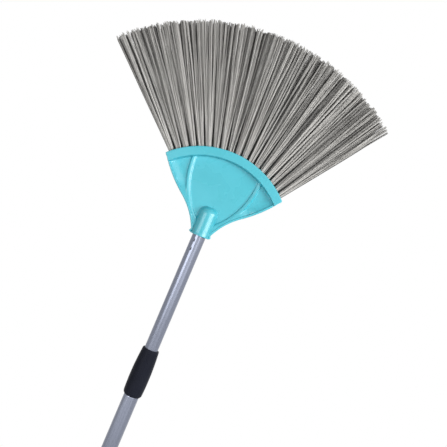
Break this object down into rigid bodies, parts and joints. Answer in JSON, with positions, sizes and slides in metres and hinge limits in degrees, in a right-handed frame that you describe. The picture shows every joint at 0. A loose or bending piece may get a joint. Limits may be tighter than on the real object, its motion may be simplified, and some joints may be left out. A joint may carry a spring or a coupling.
{
  "type": "fan broom",
  "caption": "Fan-shaped broom: grey filament bristles in a ribbed turquoise head, on a telescopic metal pole that a twist locks and that hangs by a holed end cap.",
  "frame": {"origin": "centre of the outer tube's lower end, on the pole's axis", "axes": "+Z along the pole towards the head, -Y out of the head's front face, X across the fan"},
  "size_m": [0.4128, 0.03, 1.107],
  "materials": {
    "pole_paint": "smooth light grey paint on thin steel tube",
    "collar_plastic": "satin black moulding",
    "cap_plastic": "satin black moulding",
    "bush_plastic": "plain natural white moulding",
    "lock_plastic": "plain natural white moulding",
    "ring_plastic": "plain grey moulding",
    "head_plastic": "glossy turquoise moulding",
    "bristle": "drawn grey filament",
    "screw_steel": "bright zinc plating",
    "anchor_steel": "plain flat wire"
  },
  "bodies": {
    "outer_pole": {"outer_tube": "pole_paint", "collar": "collar_plastic", "end_cap": "cap_plastic"},
    "bush": {"guide_bush": "bush_plastic"},
    "inner_pole": {"inner_tube": "pole_paint", "cam_plug": "lock_plastic", "head": "head_plastic", "head_screw": "screw_steel", "front_anchors": "anchor_steel", "back_anchors": "anchor_steel", "front_tuft_01": "bristle", "front_tuft_02": "bristle", "front_tuft_03": "bristle", "front_tuft_04": "bristle", "front_tuft_05": "bristle", "front_tuft_06": "bristle", "front_tuft_07": "bristle", "front_tuft_08": "bristle", "front_tuft_09": "bristle", "front_tuft_10": "bristle", "front_tuft_11": "bristle", "front_tuft_12": "bristle", "front_tuft_13": "bristle", "front_tuft_14": "bristle", "front_tuft_15": "bristle", "front_tuft_16": "bristle", "front_tuft_17": "bristle", "front_tuft_18": "bristle", "back_tuft_01": "bristle", "back_tuft_02": "bristle", "back_tuft_03": "bristle", "back_tuft_04": "bristle", "back_tuft_05": "bristle", "back_tuft_06": "bristle", "back_tuft_07": "bristle", "back_tuft_08": "bristle", "back_tuft_09": "bristle", "back_tuft_10": "bristle", "back_tuft_11": "bristle", "back_tuft_12": "bristle", "back_tuft_13": "bristle", "back_tuft_14": "bristle", "back_tuft_15": "bristle", "back_tuft_16": "bristle", "back_tuft_17": "bristle"},
    "cam": {"cam_ring": "ring_plastic"}
  },
  "joints": [
    {"name": "pole_twist", "type": "hinge", "parent": "outer_pole", "child": "bush", "pos_m": [0, 0, 0.58], "axis": [0, 0, 1], "range_deg": [-46, 0]},
    {"name": "pole_extend", "type": "slide", "parent": "bush", "child": "inner_pole", "axis": [0, 0, 1], "range_m": [-0.17, 0.28]},
    {"name": "cam_swing", "type": "hinge", "parent": "inner_pole", "child": "cam", "pos_m": [0.00038, 0.0004, 0.2332], "axis": [0, 0, 1], "range_deg": [0, 46]}
  ],
  "couplings": [
    {"joint": "cam_swing", "follows": "pole_twist", "ratio": -1}
  ]
}
